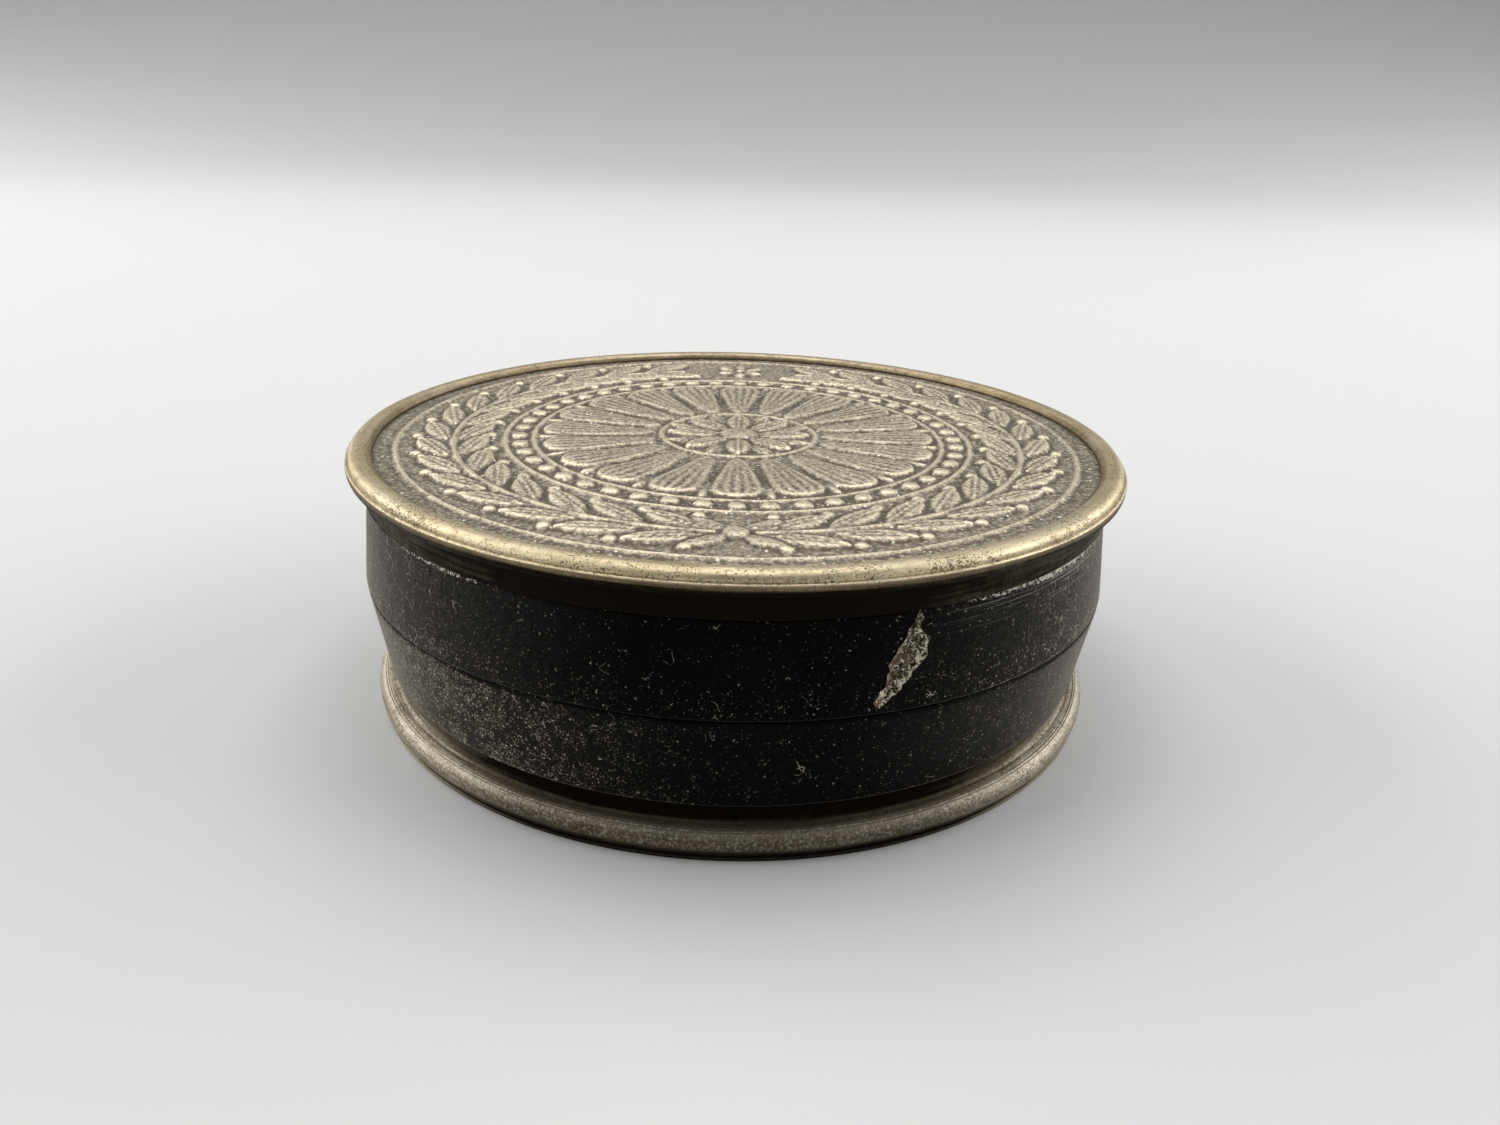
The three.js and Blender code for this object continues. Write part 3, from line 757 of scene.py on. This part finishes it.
def worn_brass(name, gold, pale, brown, lines_per_mm, dullness, grit):
    """Worn cast brass: satin gold, browner in patches, finely pitted, with dirt and painted shade, brown to
    near black and duller, where its mesh marks them, and darker again under a painted shade tone where that
    is marked. Its grit says how far grain and turned lines show."""
    s = Shader(name)
    tone = s.between(s.noise(0.07, 4, 0.6), 0.35, 0.65)
    patches = s.between(s.noise(0.45, 6, 0.7), 0.5, 0.7)
    fine = s.noise(6, 5, 0.75)
    grain = s.noise(3.6, 3, 0.7)
    lines = s.turned(lines_per_mm, 9)
    pits = s.math("ADD", s.noise(5.5, 2, 0.6), s.between(s.noise(0.25, 4, 0.7), 0.35, 0.65, -0.07, 0.05))
    pits = s.math("ADD", pits, s.between(s.attribute("pitted"), 0.0, 1.0, 0.0, 0.05))
    pits = s.between(pits, 0.59, 0.65)
    streaks = s.math("MULTIPLY", s.between(s.noise(0.9, 5, 0.7), 0.2, 0.6, 0.85, 1.0),
                     s.between(lines, 0.4, 0.65, 0.8, 1.0))
    dirt_and_painted_shade = s.between(s.math("MULTIPLY", s.attribute("dirt_and_painted_shade"), streaks), 0.0, 0.85)
    colour = s.blend(tone, gold, pale)
    colour = s.blend(s.math("MULTIPLY", patches, 0.5), colour, brown)
    # A painted shade tone, where the mesh marks it.
    colour = s.blend(s.attribute("painted_shade_tone"), colour, BRASS_PAINTED_SHADE)
    colour = s.blend(s.between(lines, 0.45, 0.65, 0.0, 0.6 * grit), colour, brown)
    colour = s.blend(s.between(grain, 0.52, 0.62, 0.0, 0.5 * grit), colour, BRASS_GRAIN)
    colour = s.blend(s.between(grain, 0.48, 0.38, 0.0, 0.35 * grit), colour, pale)
    colour = s.blend(s.math("MULTIPLY", pits, 0.8), colour, BRASS_PIT)
    # Dirt and painted shade: browner, then near black, and also duller and less metallic.
    colour = s.blend(s.between(dirt_and_painted_shade, 0.0, 0.5, 0.0, 0.8), colour, brown)
    colour = s.blend(dirt_and_painted_shade, colour, BRASS_DIRT_AND_SHADE)
    colour = s.blend(s.math("MULTIPLY", s.attribute("worn"), 0.7), colour, pale)
    rough = s.math("ADD", s.between(fine, 0.3, 0.7, dullness - 0.08, dullness + 0.08),
                   s.math("MULTIPLY", patches, 0.12))
    rough = s.math("ADD", rough, s.math("MULTIPLY", dirt_and_painted_shade, 0.25))
    metal = s.between(dirt_and_painted_shade, 0.3, 1.0, 1.0, 0.5)
    shine = s.between(dirt_and_painted_shade, 0.4, 1.0, 0.5, 0.04)
    normal = s.bump(fine, 0.03)
    normal = s.bump(grain, 0.05 * grit, normal)
    normal = s.bump(lines, 0.04 * grit, normal)
    normal = s.bump(s.math("MULTIPLY", pits, -1), 0.05, normal)
    return s.finish(Base_Color=colour, Metallic=metal, Roughness=rough, Normal=normal,
                    Specular_IOR_Level=shine)


def medal_brass():
    """Struck brass under a brown-grey patina, rubbed bright where the relief stands up, on matted ground,
    with near-white painted glints in specks.
    """
    dull = (0.3, 0.262, 0.2)
    lighter = (0.39, 0.342, 0.26)
    matted = (0.45, 0.395, 0.3)
    standing = (0.66, 0.58, 0.43)
    dark_grit = (0.1, 0.082, 0.056)
    pale_grit = (0.85, 0.77, 0.59)
    shadowed = (0.07, 0.056, 0.038)
    bright = (0.9, 0.8, 0.58)
    painted_glint = (1.0, 0.95, 0.82)

    s = Shader("struck_medal_brass")
    hollow = s.attribute("hollow")
    tone = s.between(s.noise(0.09, 4, 0.6), 0.35, 0.65)
    fine = s.noise(4.5, 3, 0.7)
    grit = s.noise(2.3, 2, 0.65)
    rubbed = s.math("ADD", s.attribute("ridge"), s.between(fine, 0.42, 0.58, -0.04, 0.03))
    rubbed = s.between(rubbed, 0.02, 0.1)
    uneven = s.math("ADD", hollow, s.between(grit, 0.6, 0.4, -0.02, 0.02))
    raised = s.between(uneven, -0.02, 0.1)
    sunk = s.between(uneven, -0.01, -0.12)
    ground = s.between(s.attribute("relief"), 0.15, 0.03)
    matting = s.tree.nodes.new("ShaderNodeTexVoronoi")
    matting.inputs["Scale"].default_value = 2.4
    s.put(matting.inputs["Vector"], s.place)
    stipple = s.math("MULTIPLY", s.between(matting.outputs["Distance"], 0.5, 0.1), ground)
    # Sparse near-white specks: painted glints on the grain.
    specks = s.math("MAXIMUM", s.specks(1.3, 0.3, 0.25), s.specks(2.1, 0.38, 0.3))
    colour = s.blend(tone, dull, lighter)
    colour = s.blend(s.math("MULTIPLY", stipple, 0.3), colour, matted)
    colour = s.blend(s.math("MULTIPLY", raised, 0.7), colour, standing)
    colour = s.blend(s.between(grit, 0.52, 0.61, 0.0, 0.45), colour, dark_grit)
    colour = s.blend(s.between(grit, 0.47, 0.38, 0.0, 0.35), colour, pale_grit)
    colour = s.blend(s.math("MULTIPLY", sunk, 0.7), colour, shadowed)
    colour = s.blend(s.math("MULTIPLY", rubbed, 0.9), colour, bright)
    colour = s.blend(specks, colour, painted_glint)
    rough = s.between(rubbed, 0.0, 1.0, 0.54, 0.4)
    normal = s.bump(fine, 0.07)
    normal = s.bump(grit, 0.08, normal)
    normal = s.bump(s.math("ADD", specks, stipple), 0.05, normal)
    return s.finish(Base_Color=colour, Metallic=0.92, Roughness=rough, Normal=normal)


def black_lacquer():
    """Satin black lacquer over pasted paper: dusty, scratched, worn at its edges, with a flake lost, and a
    grey film that is partly dust and partly a painted sheen.
    """
    black = (0.0007, 0.0007, 0.0007)
    faded = (0.002, 0.002, 0.0021)
    grey_film_and_painted_sheen = (0.1, 0.09, 0.078)
    brown_film = (0.1, 0.083, 0.055)
    dust_grain = (0.66, 0.57, 0.4)
    dust_fleck = (0.88, 0.8, 0.62)
    lint = (0.6, 0.57, 0.5)
    hair = (0.6, 0.55, 0.44)
    scratch = (0.55, 0.52, 0.46)
    bare_edge = (0.8, 0.75, 0.64)
    core_hollow = (0.01, 0.008, 0.005)
    core_paper = (0.15, 0.12, 0.075)
    core_brown = (0.2, 0.12, 0.05)
    core_strand = (0.95, 0.89, 0.7)
    dusty_sheen = (0.9, 0.84, 0.74)

    s = Shader("black_lacquer_on_paper")
    cloud = s.noise(0.12, 4, 0.6)
    fine = s.noise(5, 4, 0.7)
    fibres = s.noise(2.6, 5, 0.75, 1.0)
    dust = s.attribute("dust")
    clumps = s.math("MULTIPLY", dust, s.between(s.noise(0.55, 5, 0.8), 0.42, 0.58, 0.15, 1.7))
    stray = s.strayed(4.5, 0.2)
    flecks = s.math("MULTIPLY", s.specks(3.8, 0.42, clumps, stray), s.between(dust, 0.1, 0.6, 0.3, 1.0))
    grains = s.math("MULTIPLY", s.specks(6.5, 0.5, clumps, stray), s.between(dust, 0.1, 0.7, 0.2, 0.9))
    motes = s.math("MAXIMUM", s.specks(0.5, 0.05, 0.15), s.specks(1.3, 0.1, 0.07))
    curl = s.math("ABSOLUTE", s.math("SUBTRACT", s.noise(0.7, 1, 0.5, 0.7), 0.5))
    hairs = s.math("MULTIPLY", s.between(curl, 0.008, 0.002), s.between(s.noise(0.33, 2), 0.62, 0.67))
    thin = s.math("ABSOLUTE", s.math("SUBTRACT", s.noise(1.1, 0, 0.5, 0.3), 0.5))
    fluff = s.math("ADD", s.noise(0.5, 2), s.between(s.attribute("dusty_film_and_painted_sheen"), 0.1, 0.6, -0.15, 0.1))
    thin = s.math("MULTIPLY", s.between(thin, 0.018, 0.005), s.between(fluff, 0.57, 0.62))
    hairs = s.math("MAXIMUM", hairs, s.math("MULTIPLY", thin, 0.7))
    scratches = s.math("MULTIPLY", s.between(s.turned(7, 16), 0.58, 0.66), s.attribute("scuff"))
    worn = s.math("ADD", s.attribute("worn"), s.between(fibres, 0.42, 0.58, -1.1, -0.1))
    worn = s.between(worn, 0.02, 0.14)
    chip = s.math("ADD", s.attribute("chip"), s.between(fine, 0.2, 0.8, -0.2, 0.2))
    chip = s.between(chip, 0.35, 0.65)
    # The film is partly dust and partly a painted sheen of grazing light, grey where the dust is light.
    film_and_painted_sheen_share = s.math("MULTIPLY", s.attribute("dusty_film_and_painted_sheen"), s.between(s.noise(3, 3, 0.75), 0.44, 0.57, 0.28, 0.72))
    colour = s.blend(s.between(cloud, 0.35, 0.7), black, faded)
    colour = s.blend(film_and_painted_sheen_share, colour, s.blend(s.between(dust, 0.4, 1.0), grey_film_and_painted_sheen, brown_film))
    colour = s.blend(grains, colour, dust_grain)
    colour = s.blend(flecks, colour, dust_fleck)
    colour = s.blend(s.math("MULTIPLY", motes, 0.7), colour, lint)
    colour = s.blend(s.math("MULTIPLY", hairs, 0.6), colour, hair)
    colour = s.blend(s.math("MULTIPLY", scratches, 0.6), colour, scratch)
    colour = s.blend(s.math("MULTIPLY", worn, 0.9), colour, bare_edge)
    core = s.blend(s.between(fibres, 0.42, 0.58), core_hollow, core_paper)
    core = s.blend(s.math("MULTIPLY", s.attribute("brown_side"), 0.7), core, core_brown)
    strands = s.between(s.attribute("pale_side"), -0.5, 1.0, -0.08, 0.04)
    strands = s.math("ADD", s.noise(2.9, 3, 0.7, 0.8), strands)
    core = s.blend(s.between(strands, 0.525, 0.575), core, core_strand)
    colour = s.blend(chip, colour, core)
    dry = s.math("MAXIMUM", s.math("MAXIMUM", chip, worn), s.math("MAXIMUM", flecks, grains))
    rough = s.math("MAXIMUM", s.between(fine, 0.3, 0.7, 0.38, 0.52), s.math("MULTIPLY", dry, 0.85))
    raised = s.math("ADD", s.math("ADD", grains, flecks), s.math("ADD", motes, hairs))
    normal = s.bump(fine, 0.012)
    normal = s.bump(raised, 0.03, normal)
    normal = s.bump(scratches, -0.02, normal)
    normal = s.bump(s.math("MULTIPLY", chip, fibres), 0.25, normal)
    s.finish(Specular_IOR_Level=0.025, Sheen_Weight=0.5, Sheen_Roughness=0.3, Sheen_Tint=dusty_sheen)
    return s.finish(Base_Color=colour, Roughness=rough, Normal=normal)


def shell_lining():
    """Polished tortoiseshell: amber with dark brown clouds, and fine rubbing."""
    amber = (0.2, 0.075, 0.022)
    dark_cloud = (0.028, 0.011, 0.006)
    dark_spot = (0.012, 0.006, 0.004)

    s = Shader("tortoiseshell_lining")
    clouds = s.between(s.noise(0.13, 5, 0.6, 1.4), 0.42, 0.58)
    spots = s.between(s.noise(0.4, 4, 0.6, 0.8), 0.55, 0.68)
    fine = s.noise(6, 3, 0.6)
    lines = s.turned(5, 14)
    colour = s.blend(clouds, amber, dark_cloud)
    colour = s.blend(s.math("MULTIPLY", spots, 0.7), colour, dark_spot)
    rough = s.math("ADD", s.between(fine, 0.3, 0.7, 0.16, 0.28), s.between(lines, 0.5, 0.8, 0.0, 0.15))
    normal = s.bump(lines, 0.012, s.bump(fine, 0.006))
    return s.finish(Base_Color=colour, Roughness=rough, Normal=normal)


def pasted_paper():
    """Bare pasted paper, brown and fibrous."""
    brown = (0.3, 0.2, 0.1)
    tan = (0.5, 0.37, 0.22)

    s = Shader("bare_pasted_paper")
    fibres = s.noise(1.2, 6, 0.7, 1.5)
    colour = s.blend(s.between(fibres, 0.3, 0.7), brown, tan)
    return s.finish(Base_Color=colour, Roughness=0.9, Normal=s.bump(fibres, 0.1))


# The box

lacquer = black_lacquer()
shell = shell_lining()
paper = pasted_paper()
rim_metal = worn_brass(
    "worn_rim_brass", gold=(0.63, 0.515, 0.315), pale=(0.73, 0.63, 0.44), brown=(0.25, 0.18, 0.09),
    lines_per_mm=3.0, dullness=0.42, grit=0.4)
foot_metal = worn_brass(
    "worn_foot_brass", gold=(0.5, 0.44, 0.33), pale=(0.68, 0.62, 0.5), brown=(0.2, 0.16, 0.1),
    lines_per_mm=4.0, dullness=0.58, grit=1.0)

medallion(medal_brass())
lid_bezel(rim_metal)
lid_wall(lacquer)
base_wall(lacquer)
foot_bezel(foot_metal)
plain_turning("shell_throat_ring", [(35, 6.05), (36.2, 6.05), (36.2, 21.8, 0.6), (35, 21.8, 0.6)],
              "throat_ring", shell)
plain_turning("shell_lid_lining", [(0, 22.8), (36, 22.8, 0.12), (36, 23.25, 0.12), (0, 23.25)],
              "lid_lining", shell)
plain_turning("shell_base_lining", [(0, 3.45), (34.7, 3.45, 0.12), (34.7, 3.9, 0.12), (0, 3.9)],
              "base_lining", shell)
plain_turning("brass_base_plate", [(0, 0.6), (36.3, 0.6, 0.1), (36.3, 1.15, 0.1), (0, 1.15)],
              "base_plate", foot_metal)

# The panel and the floor keep their solids, with the look of bare paper
for hidden in ("lid_panel", "base_floor"):
    frame["nodes"][hidden].data.materials.clear()
    frame["nodes"][hidden].data.materials.append(paper)


# The studio, in metres

def stage_cove():
    """A round pale floor that curves up into a wall."""
    flat = 0.8
    curve = 1.2
    wall_top = 1.6
    bend = np.linspace(0.1, math.pi / 2, 14)
    profile = [(0, 0), (flat, 0)]
    profile += [(flat + curve * math.sin(t), curve - curve * math.cos(t)) for t in bend]
    profile.append((flat + curve, wall_top))
    angle, radius, height = spun(np.array(profile), np.radians(np.arange(0, 360, 3)))
    index = np.arange(angle.size).reshape(angle.shape)
    ahead = np.roll(index, -1, axis=0)
    faces = np.stack([index[:, :-1], index[:, 1:], ahead[:, 1:], ahead[:, :-1]], -1).reshape(-1, 4)
    mesh = bpy.data.meshes.new("stage_cove")
    mesh.from_pydata(placed(angle, radius, height).reshape(-1, 3), [], faces.tolist())
    mesh.shade_smooth()
    material = bpy.data.materials.new("stage_paper")
    material.use_nodes = True
    surface = material.node_tree.nodes["Principled BSDF"]
    surface.inputs["Base Color"].default_value = (0.7, 0.695, 0.685, 1)
    surface.inputs["Roughness"].default_value = 0.9
    surface.inputs["Specular IOR Level"].default_value = 0.1
    mesh.materials.append(material)
    made = bpy.data.objects.new("stage_cove", mesh)
    bpy.context.scene.collection.objects.link(made)


def softbox(name, place, width, height, power):
    """A soft lamp that faces the middle of the floor."""
    lamp = bpy.data.lights.new(name, "AREA")
    lamp.shape = "RECTANGLE"
    lamp.size = width
    lamp.size_y = height
    lamp.energy = power
    made = bpy.data.objects.new(name, lamp)
    made.location = place
    made.rotation_euler = (-Vector(place)).to_track_quat("-Z", "Y").to_euler()
    bpy.context.scene.collection.objects.link(made)


def camera():
    """Where the photograph was taken from, as fitted to the box's outlines."""
    right = Vector((0.99954, -0.00177, 0.0304))
    up = Vector((-0.02744, 0.38116, 0.9241))
    ahead = Vector((0.01322, 0.92451, -0.38093))
    lens = bpy.data.cameras.new("camera")
    lens.sensor_width = 36
    lens.lens = 27.05
    lens.clip_start = 0.005
    made = bpy.data.objects.new("camera", lens)
    turn = Matrix((right, up, -ahead)).transposed().to_4x4()
    made.matrix_world = Matrix.Translation(Vector((0, -116.861, 59.633)) * MM) @ turn
    bpy.context.scene.collection.objects.link(made)
    bpy.context.scene.camera = made


stage_cove()
softbox("top_softbox", (-0.05, 0.3, 0.95), width=0.8, height=0.8, power=5.2)
softbox("left_softbox", (-0.85, 0.15, 0.5), width=1.2, height=0.5, power=6.6)
softbox("right_softbox", (0.85, 0.18, 0.48), width=1.1, height=0.45, power=6.0)
world = bpy.data.worlds.new("studio")
world.use_nodes = True
world.node_tree.nodes["Background"].inputs["Color"].default_value = (0.9, 0.92, 0.95, 1)
world.node_tree.nodes["Background"].inputs["Strength"].default_value = 0.25
bpy.context.scene.world = world
bpy.context.scene.view_settings.view_transform = "Standard"
camera()
